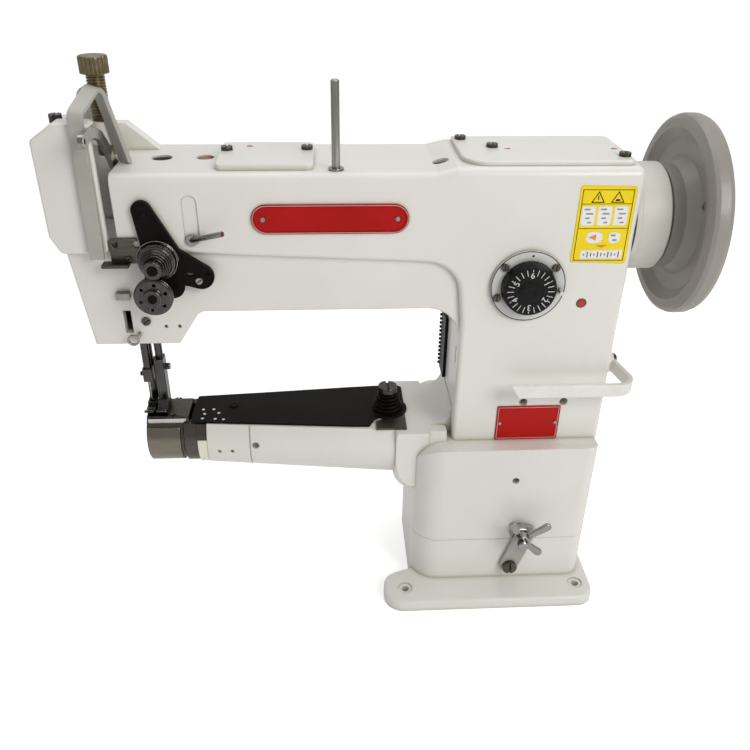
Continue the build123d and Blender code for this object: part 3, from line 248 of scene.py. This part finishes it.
# Cast and moulded covers have softer corners than their plain solids.
for name, width in (("face_cover", 0.0032), ("take_up_guard", 0.0006)):
    softened = NODES[name].modifiers.new("soft corners", "BEVEL")
    softened.width = width
    softened.segments = 4
    softened.limit_method = "ANGLE"
    softened.angle_limit = math.radians(25)

# ---------------------------------------------------------------- mesh helpers


def shaped(name, mesh, slot, body, smooth_angle=35):
    """Turns a bmesh into a piece that rides on a body."""
    data = bpy.data.meshes.new(name)
    bmesh.ops.recalc_face_normals(mesh, faces=mesh.faces)
    mesh.to_mesh(data)
    mesh.free()
    made = bpy.data.objects.new(name, data)
    bpy.context.scene.collection.objects.link(made)
    data.materials.append(MATERIALS[slot])
    data.polygons.foreach_set("use_smooth", [True] * len(data.polygons))
    data.set_sharp_from_angle(angle=math.radians(smooth_angle))
    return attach(made, body)


def add_prism(mesh, outline, frame_matrix, low, high):
    """A closed prism: outline in the matrix's local XY, from low to high along its local Z."""
    rings = []
    for level in (low, high):
        rings.append([mesh.verts.new(frame_matrix @ Vector((x, y, level))) for x, y in outline])
    mesh.faces.new(rings[0][::-1])
    mesh.faces.new(rings[1])
    count = len(outline)
    for i in range(count):
        j = (i + 1) % count
        mesh.faces.new((rings[0][i], rings[0][j], rings[1][j], rings[1][i]))


def add_lathe(mesh, profile, frame_matrix, steps=48):
    """A closed turned shape about the matrix's local Z; profile points are (radius, height)."""
    rings = []
    for radius, height in profile:
        if radius < 1e-7:
            rings.append([mesh.verts.new(frame_matrix @ Vector((0, 0, height)))])
            continue
        ring = []
        for i in range(steps):
            angle = 2 * math.pi * i / steps
            point = Vector((radius * math.cos(angle), radius * math.sin(angle), height))
            ring.append(mesh.verts.new(frame_matrix @ point))
        rings.append(ring)
    for first, second in zip(rings, rings[1:]):
        for i in range(steps):
            j = (i + 1) % steps
            corners = [first[i % len(first)], first[j % len(first)],
                       second[j % len(second)], second[i % len(second)]]
            distinct = list(dict.fromkeys(corners))
            if len(distinct) > 2:
                mesh.faces.new(distinct)


def rounded(width, height, radius, steps=5):
    """The outline of a rounded rectangle about the origin."""
    points = []
    for sx, sy, start in ((1, 1, 0), (-1, 1, 90), (-1, -1, 180), (1, -1, 270)):
        for i in range(steps + 1):
            angle = math.radians(start + 90 * i / steps)
            x = sx * (width / 2 - radius) + radius * math.cos(angle)
            y = sy * (height / 2 - radius) + radius * math.sin(angle)
            points.append((x, y))
    return points


def facing(x, y, z):
    """A frame on the operator's side: local X is X, local Y is Z, local Z points at the operator."""
    return Matrix(((1, 0, 0, x), (0, 0, -1, y), (0, 1, 0, z), (0, 0, 0, 1)))


def upright(x, y, z):
    """A frame at a point with its axes along the row's own."""
    return Matrix.Translation((x, y, z))


# ---------------------------------------------------------------- printed label and plates

LABEL_LOW, LABEL_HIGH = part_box("info_label")
LABEL_CENTRE = (LABEL_LOW + LABEL_HIGH) / 2
LABEL_FACE = facing(LABEL_CENTRE.x, LABEL_LOW.y, LABEL_CENTRE.z)
PRINT_DEPTH = 0.00008


def on_label(outline, dx=0.0, dz=0.0):
    """An outline in millimetres from the label's centre, moved by dx and dz and turned into metres."""
    return [((x + dx) * MM, (z + dz) * MM) for x, z in outline]


def line_frame(mesh, outline, width, place, dx=0.0, dz=0.0):
    """Thin printed bars along each side of a closed outline, in millimetres."""
    for (ax, az), (bx, bz) in zip(outline, outline[1:] + outline[:1]):
        along = Vector((bx - ax, bz - az)).normalized() * (width / 2)
        across = Vector((-along.y, along.x))
        bar = [(ax - along.x - across.x, az - along.y - across.y),
               (bx + along.x - across.x, bz + along.y - across.y),
               (bx + along.x + across.x, bz + along.y + across.y),
               (ax - along.x + across.x, az - along.y + across.y)]
        add_prism(mesh, on_label(bar, dx, dz), place, 0, PRINT_DEPTH)


BORDER = [(-18.9, -26.8), (18.6, -27.2), (18.4, 26.4), (-18.6, 26.6)]
TRIANGLE = [(-4.4, -3.4), (4.4, -3.4), (0, 4.2)]
print_mesh = bmesh.new()
line_frame(print_mesh, BORDER, 0.5, LABEL_FACE)
for level in (16.2, -2.2):
    line_frame(print_mesh, [(-18.6, level), (18.4, level)], 0.4, LABEL_FACE)
for x in (-7.0, 7.4):
    line_frame(print_mesh, TRIANGLE, 0.7, LABEL_FACE, x, 20.8)
add_prism(print_mesh, on_label(rounded(0.8, 3.2, 0.3), -7.0, 20.8), LABEL_FACE, 0, PRINT_DEPTH)
add_prism(print_mesh, on_label(rounded(3.2, 1.4, 0.6), 7.4, 19.0), LABEL_FACE, 0, PRINT_DEPTH)
for i in range(11):
    mark = rounded(0.7, 1.6 + 1.5 * ((i * 5) % 3), 0.3)
    add_prism(print_mesh, on_label(mark, -11.5 + 2.6 * i, -22.4), LABEL_FACE, PRINT_DEPTH, 2 * PRINT_DEPTH)
shaped("label_print", print_mesh, "dial_black", "head")

panel_mesh = bmesh.new()
for x in (-12.6, -0.6, 11.4):
    add_prism(panel_mesh, on_label(rounded(10.2, 14.6, 1.4), x, 7.2), LABEL_FACE, 0, PRINT_DEPTH)
add_prism(panel_mesh, on_label(rounded(12.5, 8.6, 4.0), -5.6, -9.2), LABEL_FACE, 0, PRINT_DEPTH)
add_prism(panel_mesh, on_label(rounded(8.8, 8.6, 3.6), 9.4, -9.4), LABEL_FACE, 0, PRINT_DEPTH)
add_prism(panel_mesh, on_label(rounded(31.5, 6.6, 0.8), 1.4, -22.4), LABEL_FACE, 0, PRINT_DEPTH)
shaped("label_panels", panel_mesh, "label_white", "head")

sketch_mesh = bmesh.new()
for x in (-12.6, -0.6, 11.4):
    for row, (dx, width) in enumerate(((-1.2, 4.6), (0.8, 5.4), (-0.4, 3.6), (1.4, 3.0))):
        bar = rounded(width, 1.2, 0.55)
        add_prism(sketch_mesh, on_label(bar, x + dx, 12.2 - 3.3 * row), LABEL_FACE,
                  PRINT_DEPTH, 2 * PRINT_DEPTH)
for dx, dz in ((8.4, -7.6), (9.8, -11.2)):
    add_prism(sketch_mesh, on_label(rounded(3.4, 1.4, 0.6), dx, dz), LABEL_FACE,
              PRINT_DEPTH, 2 * PRINT_DEPTH)
shaped("label_pictures", sketch_mesh, "label_grey", "head")

accent_mesh = bmesh.new()
add_prism(accent_mesh, on_label([(-4.6, 0.9), (0, -1.4), (4.6, 0.9)], 0.6, -15.8), LABEL_FACE,
          0, PRINT_DEPTH)
add_prism(accent_mesh, on_label([(-3.4, 0), (2.2, -2.4), (2.2, 2.4)], -6.6, -9.0), LABEL_FACE,
          PRINT_DEPTH, 2 * PRINT_DEPTH)
shaped("label_accents", accent_mesh, "label_orange", "head")


def rim_band(mesh, outer, inner, place, low, high):
    """A closed band between two outlines with the same number of points."""
    rings = []
    for outline, height in ((outer, low), (outer, high), (inner, high), (inner, low)):
        rings.append([mesh.verts.new(place @ Vector((x, y, height))) for x, y in outline])
    count = len(outer)
    for first, second in zip(rings, rings[1:] + rings[:1]):
        for i in range(count):
            j = (i + 1) % count
            mesh.faces.new((first[i], first[j], second[j], second[i]))


def plate_rim(name, node_name, corner, inset, width):
    """A pale raised line just inside a name plate's edge."""
    low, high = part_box(node_name)
    middle = (low + high) / 2
    size = high - low
    rings = []
    for step in (inset, inset + width):
        rings.append(rounded(size.x - 2 * step, size.z - 2 * step, max(corner - step, 0.0002), 10))
    mesh = bmesh.new()
    rim_band(mesh, rings[0], rings[1], facing(middle.x, low.y, middle.z), 0, 0.00015)
    shaped(name, mesh, "plate_line", "head")


plate_rim("nameplate_line", "nameplate", 0.01074, 0.0006, 0.0004)
plate_rim("model_plate_line", "model_plate", 0.0012, 0.0011, 0.0004)

# ---------------------------------------------------------------- dial scale

DIAL_FACE = facing(*DIAL)
TICK_INNER_R = 0.0128
TICK_INNER_R_AT_DIGIT = 0.0160
TICK_OUTER_R = 0.0177
TICK_HALF_WIDTH = 0.00026
DIGIT_R = 0.0128
DIGIT_SIZE = 0.0068
DIGIT_DEPTH = 0.00006

tick_mesh = bmesh.new()
for i in range(24):
    angle = math.radians(90 - 15 * i)
    inner_r = TICK_INNER_R if i % 4 else TICK_INNER_R_AT_DIGIT
    turned = DIAL_FACE @ Matrix.Rotation(angle, 4, "Z")
    tick = [(inner_r, -TICK_HALF_WIDTH), (TICK_OUTER_R, -TICK_HALF_WIDTH),
            (TICK_OUTER_R, TICK_HALF_WIDTH), (inner_r, TICK_HALF_WIDTH)]
    add_prism(tick_mesh, tick, turned, 0, 0.00012)
shaped("dial_ticks", tick_mesh, "dial_mark", "dial_body")

for i in range(6):
    angle = math.radians(90 - 60 * i)
    font = bpy.data.curves.new("digit", "FONT")
    font.body = str(i or 6)
    font.size = DIGIT_SIZE
    font.extrude = DIGIT_DEPTH
    font.align_x = "CENTER"
    font.align_y = "CENTER"
    stencil = bpy.data.objects.new("digit", font)
    bpy.context.scene.collection.objects.link(stencil)
    digit_data = bpy.data.meshes.new_from_object(
        stencil.evaluated_get(bpy.context.evaluated_depsgraph_get()))
    bpy.data.objects.remove(stencil)
    turned = Matrix.Rotation(angle - math.pi / 2, 4, "Z")
    digit_data.transform(DIAL_FACE @ turned @ Matrix.Translation((0, DIGIT_R, DIGIT_DEPTH)))
    digit_data.materials.clear()
    digit_data.materials.append(MATERIALS["dial_mark"])
    digit = bpy.data.objects.new(f"dial_digit_{i}", digit_data)
    bpy.context.scene.collection.objects.link(digit)
    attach(digit, "dial_body")

# A shallow turned step round a sunk centre on the knob's face.
knob_mesh = bmesh.new()
add_lathe(knob_mesh, [(0, 0), (0.0086, 0), (0.0086, 0.00035), (0.0078, 0.0006), (0.0034, 0.0006),
                      (0.0030, 0.0002), (0, 0.0002)], DIAL_FACE, 64)
shaped("dial_centre", knob_mesh, "dial_black", "dial_body")

# Thin dark line round the dial ring's edge.
line_mesh = bmesh.new()
circles = []
for radius in (0.0283, 0.0277):
    angles = [math.tau * i / 72 for i in range(72)]
    circles.append([(radius * math.cos(angle), radius * math.sin(angle)) for angle in angles])
rim_band(line_mesh, circles[0], circles[1], facing(DIAL.x, DIAL_RING_Y, DIAL.z), 0, 0.00012)
shaped("dial_ring_line", line_mesh, "dial_black", "head")

# ---------------------------------------------------------------- springs


def coil(name, slot, body, place, wire, turns, start, end, flat=0.0):
    """A conical coil spring: start and end are (radius, height) along the place's local Z."""
    steps_round, sides = 26, 10
    total = int(turns * steps_round)
    mesh = bmesh.new()
    rings = []
    for i in range(total + 1):
        share = i / total
        angle = 2 * math.pi * turns * share
        radius = start[0] + (end[0] - start[0]) * share
        eased = min(max((share - flat) / (1 - 2 * flat), 0), 1)
        height = start[1] + (end[1] - start[1]) * eased
        ring = []
        for k in range(sides):
            turn = 2 * math.pi * k / sides
            out = radius + wire * math.cos(turn)
            point = Vector((out * math.cos(angle), out * math.sin(angle), height + wire * math.sin(turn)))
            ring.append(mesh.verts.new(place @ point))
        rings.append(ring)
    for first, second in zip(rings, rings[1:]):
        for k in range(sides):
            j = (k + 1) % sides
            mesh.faces.new((first[k], first[j], second[j], second[k]))
    mesh.faces.new(rings[0])
    mesh.faces.new(rings[-1][::-1])
    return shaped(name, mesh, slot, body, 60)


TENSION_AXIS = facing(TENSION_X, 0, TENSION_Z)
stud_spring = coil("plate_cone_spring", "black_paint", "head", upright(*PLATE_STUD), 0.0012, 5.5,
                   (0.0126, 0.0013), (0.0068, 0.0156), 0.08)
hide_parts("plate_spring")
coil("tension_spring", "dark_chrome", "head", TENSION_AXIS, 0.0006, 4.2,
     (0.0112, 0.0523), (0.0066, 0.0600), 0.05)
coil("check_spring", "chrome", "head", TENSION_AXIS, 0.00045, 1.2,
     (0.0150, 0.0468), (0.0138, 0.0468))

# ---------------------------------------------------------------- marks and small fittings

# White dots printed round the needle end of the swinging plate.
dot_mesh = bmesh.new()
for x, y in ((-253, -2), (-251, -9), (-252, -16), (-244, -2), (-239, -8), (-241, -17), (-234, -18)):
    add_lathe(dot_mesh, [(0, -0.0012), (0.0013, -0.0012), (0.0013, 0), (0.001, 0.00016), (0, 0.0002)],
              upright(x * MM, y * MM, DECK_TOP), 20)
shaped("plate_dots", dot_mesh, "dial_mark", "arm_plate_body")


def slotted_head(name, slot, body, place, radius, height):
    """A round screw head with a cut slot: two half heads on a thin disc."""
    mesh = bmesh.new()
    half_slot = 0.16 * radius
    for sign in (1, -1):
        outline = []
        for i in range(17):
            angle = math.radians(5 + 170 * i / 16)
            outline.append((radius * math.cos(angle), sign * max(radius * math.sin(angle), half_slot)))
        add_prism(mesh, outline, place, 0.35 * height, height)
    add_lathe(mesh, [(0, 0), (radius, 0), (radius, 0.4 * height), (0, 0.4 * height)], place, 32)
    made = shaped(name, mesh, slot, body)
    bevel = made.modifiers.new("soft edges", "BEVEL")
    bevel.width = 0.08 * radius
    bevel.segments = 2
    bevel.limit_method = "ANGLE"
    return made


# Each screw's finish, place, head radius and head height.
SMALL_SCREWS = {
    "head_screw": ("dark_steel", facing(-0.2811, -0.0365, 0.2670), 0.0034, 0.0014),
    "needle_guard_screw": ("dark_steel", facing(-0.2845, FRONT_Y - 0.002, 0.3205), 0.0022, 0.0013),
    "bracket_screw_low": ("chrome", facing(-0.236, -0.0462, 0.3040), 0.0026, 0.0013),
    "bracket_screw_high": ("black_paint", facing(-0.271, BRACKET_Y, 0.3565), 0.0036, 0.0016),
    "deck_screw": ("black_paint", upright(-0.2272, 0.0042, DECK_TOP), 0.0042, 0.0011),
}
SLOT_ANGLE = math.radians(35)
for name, (slot, place, radius, height) in SMALL_SCREWS.items():
    body = "arm_plate_body" if name == "deck_screw" else "head"
    turned = place @ Matrix.Rotation(SLOT_ANGLE, 4, "Z")
    slotted_head(name, slot, body, turned, radius, height)

# Red sealing paint: spots on the top covers, one oil hole and the plug in the column's front.
seal_mesh = bmesh.new()
for x, y, z, radius in ((-199, 18, 385, 2.4), (-7.5, -1.3, 387.5, 1.9), (72, -2, 387.5, 2.2)):
    outline = []
    for i in range(18):
        angle = 2 * math.pi * i / 18
        wobble = radius * (1 + 0.22 * math.sin(3 * angle + x) + 0.1 * math.sin(5 * angle))
        outline.append((wobble * math.cos(angle) * MM, 0.7 * wobble * math.sin(angle) * MM))
    add_prism(seal_mesh, outline, upright(x * MM, y * MM, z * MM), 0, 0.00025)
for place, radius in ((upright(-0.2306, 0.004, 0.379), 4.6), (facing(0.0519, -0.0414, 0.280), 3.5)):
    add_lathe(seal_mesh, [(0, 0), (radius * MM, 0), (radius * MM, 0.0003), (0.4 * radius * MM, 0.0009),
                          (0, 0.001)], place, 28)
shaped("sealing_paint", seal_mesh, "seal_red", "head")

# Index dot at the top of the dial ring.
mark_mesh = bmesh.new()
add_lathe(mark_mesh, [(0, 0), (0.0009, 0), (0.0007, 0.0002), (0, 0.00025)],
          facing(DIAL.x + 0.0013, DIAL_RING_Y, DIAL.z + 0.0245), 20)
shaped("dial_index", mark_mesh, "dial_black", "head")

# A brighter steel strip along the needle plate's front.
PLATE_LOW, PLATE_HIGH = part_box("needle_plate")
strip_mesh = bmesh.new()
strip_outline = rounded(PLATE_HIGH.x - PLATE_LOW.x - 0.003, 0.0042, 0.0006)
add_prism(strip_mesh, strip_outline, facing((PLATE_LOW.x + PLATE_HIGH.x) / 2, PLATE_LOW.y,
                                            PLATE_HIGH.z - 0.0026), 0, 0.00012)
shaped("needle_plate_face", strip_mesh, "bright_steel", "head")

# ---------------------------------------------------------------- floor, light and camera

# Camera rays see the floor, backdrop and sky near white; other rays get less light from them,
# so that the pale surroundings don't wash out the machine.
FLOOR_GLOW = (0.08, 0.5)
SKY_STRENGTH = (0.33, 1.0)
FLOOR_FRONT_Y = -7.0
SWEEP_START_Y = 1.1
SWEEP_RADIUS = 0.5
BACKDROP_TOP = 4.0
FLOOR_HALF_WIDTH = 9.0

FLOOR = finish_material("floor_finish", (0.86, 0.86, 0.86), (0.90, 0.90, 0.90), (0.6, 0.75),
                        grain=60, grain_depth=0.02, patches=2, specular=0.2)
floor_shader = FLOOR.node_tree.nodes["Principled BSDF"]
floor_shader.inputs["Emission Color"].default_value = (1.0, 1.0, 1.0, 1)
rays = FLOOR.node_tree.nodes.new("ShaderNodeLightPath")
glow = spread(FLOOR.node_tree, rays.outputs["Is Camera Ray"], *FLOOR_GLOW, 0, 1)
FLOOR.node_tree.links.new(glow, floor_shader.inputs["Emission Strength"])
sweep_mesh = bmesh.new()
floor_profile = [(FLOOR_FRONT_Y, 0.0), (SWEEP_START_Y, 0.0)]
for i in range(1, 7):
    angle = math.radians(15 * i)
    floor_profile.append((SWEEP_START_Y + SWEEP_RADIUS * math.sin(angle),
                          SWEEP_RADIUS - SWEEP_RADIUS * math.cos(angle)))
floor_profile.append((SWEEP_START_Y + SWEEP_RADIUS, BACKDROP_TOP))
strips = []
for y, z in floor_profile:
    strips.append([sweep_mesh.verts.new((x, y, z)) for x in (-FLOOR_HALF_WIDTH, FLOOR_HALF_WIDTH)])
for lower, upper in zip(strips, strips[1:]):
    sweep_mesh.faces.new((lower[0], lower[1], upper[1], upper[0]))
backdrop_data = bpy.data.meshes.new("backdrop")
sweep_mesh.to_mesh(backdrop_data)
sweep_mesh.free()
backdrop_data.materials.append(FLOOR)
backdrop_data.polygons.foreach_set("use_smooth", [True] * len(backdrop_data.polygons))
backdrop = bpy.data.objects.new("backdrop", backdrop_data)
bpy.context.scene.collection.objects.link(backdrop)


def soft_light(name, place, target, size, power, color=(1, 1, 1)):
    """A rectangular area light at place, aimed at target."""
    lamp = bpy.data.lights.new(name, "AREA")
    lamp.shape = "RECTANGLE"
    lamp.size, lamp.size_y = size
    lamp.energy = power
    lamp.color = color
    made = bpy.data.objects.new(name, lamp)
    made.location = place
    made.rotation_euler = (Vector(target) - Vector(place)).to_track_quat("-Z", "Y").to_euler()
    bpy.context.scene.collection.objects.link(made)


soft_light("key", (0.85, -1.20, 1.15), (0, 0, 0.2), (0.8, 0.8), 14, (1.0, 0.985, 0.955))
soft_light("fill", (-1.4, -0.9, 0.8), (-0.1, 0, 0.2), (1.2, 1.2), 1, (0.96, 0.98, 1.0))
soft_light("top", (-0.1, 0.3, 1.6), (-0.1, 0, 0.3), (1.6, 1.2), 8)
world = bpy.data.worlds.new("studio")
world.use_nodes = True
world.node_tree.nodes["Background"].inputs["Color"].default_value = (1.0, 1.0, 1.0, 1)
world_rays = world.node_tree.nodes.new("ShaderNodeLightPath")
sky = spread(world.node_tree, world_rays.outputs["Is Camera Ray"], *SKY_STRENGTH, 0, 1)
world.node_tree.links.new(sky, world.node_tree.nodes["Background"].inputs["Strength"])
bpy.context.scene.world = world
bpy.context.scene.view_settings.view_transform = "Standard"

CAMERA_PLACE = (-0.1386, -0.57384, 0.5327)
CAMERA_YAW = math.radians(3.471)
CAMERA_PITCH = math.radians(30.483)
CAMERA_ROLL = math.radians(0.746)

camera_data = bpy.data.cameras.new("camera")
camera_data.lens = 37.15
camera_data.sensor_width = 36
camera = bpy.data.objects.new("camera", camera_data)
forward = Vector((math.sin(CAMERA_YAW) * math.cos(CAMERA_PITCH),
                  math.cos(CAMERA_YAW) * math.cos(CAMERA_PITCH), -math.sin(CAMERA_PITCH)))
level = Vector((math.cos(CAMERA_YAW), -math.sin(CAMERA_YAW), 0))
rise = level.cross(forward)
right = math.cos(CAMERA_ROLL) * level + math.sin(CAMERA_ROLL) * rise
up = math.cos(CAMERA_ROLL) * rise - math.sin(CAMERA_ROLL) * level
turn = Matrix((right, up, -forward)).transposed().to_4x4()
camera.matrix_world = Matrix.Translation(CAMERA_PLACE) @ turn
bpy.context.scene.collection.objects.link(camera)
bpy.context.scene.camera = camera
